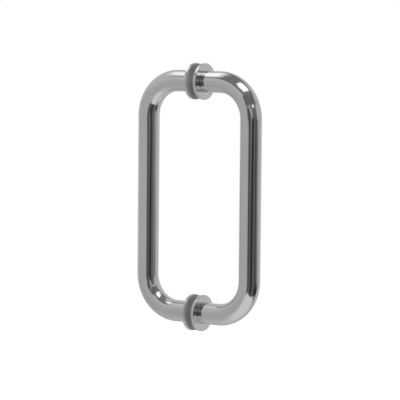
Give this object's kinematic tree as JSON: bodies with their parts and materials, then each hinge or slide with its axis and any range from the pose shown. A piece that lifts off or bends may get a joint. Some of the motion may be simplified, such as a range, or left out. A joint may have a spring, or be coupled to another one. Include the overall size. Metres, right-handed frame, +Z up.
{
  "type": "glass door pull handle",
  "caption": "Back-to-back tubular pull handle for a glass door: bent chromed tubes with round washers and soft gaskets at their feet, joined through the glass by studs.",
  "frame": {"origin": "middle of the glass door's thickness, midway between the two holes in the door", "axes": "+Z up along the grips, +X through the door towards the outer pull, +Y along the face of the door"},
  "size_m": [0.1264, 0.032, 0.235],
  "materials": {
    "polished_chrome": "mirror-polished chrome plate on brass tube",
    "washer_chrome": "turned and polished chrome plate",
    "clear_vinyl": "clear soft vinyl",
    "turned_brass": "bare turned brass",
    "zinc_plated_steel": "bright zinc plate",
    "natural_nylon": "natural nylon, slightly milky",
    "black_steel": "black oxide"
  },
  "bodies": {
    "root": {"outer_pull": "polished_chrome", "inner_pull": "polished_chrome", "outer_top_washer": "washer_chrome", "outer_bottom_washer": "washer_chrome", "inner_top_washer": "washer_chrome", "inner_bottom_washer": "washer_chrome", "outer_top_gasket": "clear_vinyl", "outer_bottom_gasket": "clear_vinyl", "inner_top_gasket": "clear_vinyl", "inner_bottom_gasket": "clear_vinyl", "outer_top_insert": "turned_brass", "outer_bottom_insert": "turned_brass", "inner_top_insert": "turned_brass", "inner_bottom_insert": "turned_brass", "top_stud": "zinc_plated_steel", "bottom_stud": "zinc_plated_steel", "top_sleeve": "natural_nylon", "bottom_sleeve": "natural_nylon", "top_set_screw": "black_steel", "bottom_set_screw": "black_steel"}
  },
  "joints": []
}
